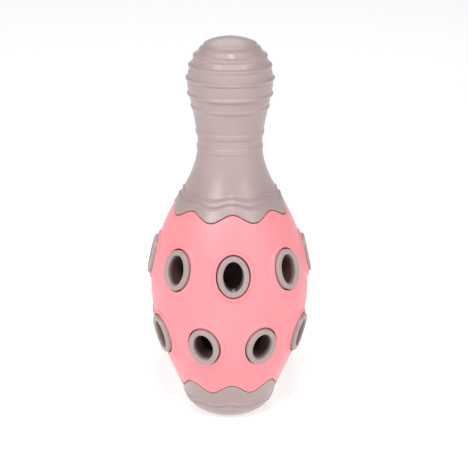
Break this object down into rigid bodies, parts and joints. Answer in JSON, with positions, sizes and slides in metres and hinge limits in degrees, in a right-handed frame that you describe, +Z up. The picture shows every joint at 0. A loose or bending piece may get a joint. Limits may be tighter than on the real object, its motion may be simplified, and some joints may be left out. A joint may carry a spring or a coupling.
{
  "type": "bowling pin treat toy",
  "caption": "Hollow soft-rubber bowling pin with a ribbed head, a barrel body with open oval eyelets all round and a foot cup; treats fall out through the eyelets.",
  "frame": {"origin": "centre of the foot, on the surface that the pin stands on", "axes": "+Z up the pin's own axis from foot to head; -Y through the middle of the first upper eyelet, the front"},
  "size_m": [0.0798, 0.0798, 0.187],
  "materials": {
    "taupe_rubber": "satin moulded soft rubber, grey taupe",
    "pink_rubber": "satin moulded soft rubber, salmon pink"
  },
  "bodies": {
    "root": {"head_neck": "taupe_rubber", "body_shell": "pink_rubber", "inner_core": "taupe_rubber", "base_cup": "taupe_rubber", "upper_eyelet_1": "taupe_rubber", "upper_eyelet_2": "taupe_rubber", "upper_eyelet_3": "taupe_rubber", "upper_eyelet_4": "taupe_rubber", "upper_eyelet_5": "taupe_rubber", "upper_eyelet_6": "taupe_rubber", "upper_eyelet_7": "taupe_rubber", "upper_eyelet_8": "taupe_rubber", "lower_eyelet_1": "taupe_rubber", "lower_eyelet_2": "taupe_rubber", "lower_eyelet_3": "taupe_rubber", "lower_eyelet_4": "taupe_rubber", "lower_eyelet_5": "taupe_rubber", "lower_eyelet_6": "taupe_rubber", "lower_eyelet_7": "taupe_rubber", "lower_eyelet_8": "taupe_rubber"}
  },
  "joints": []
}
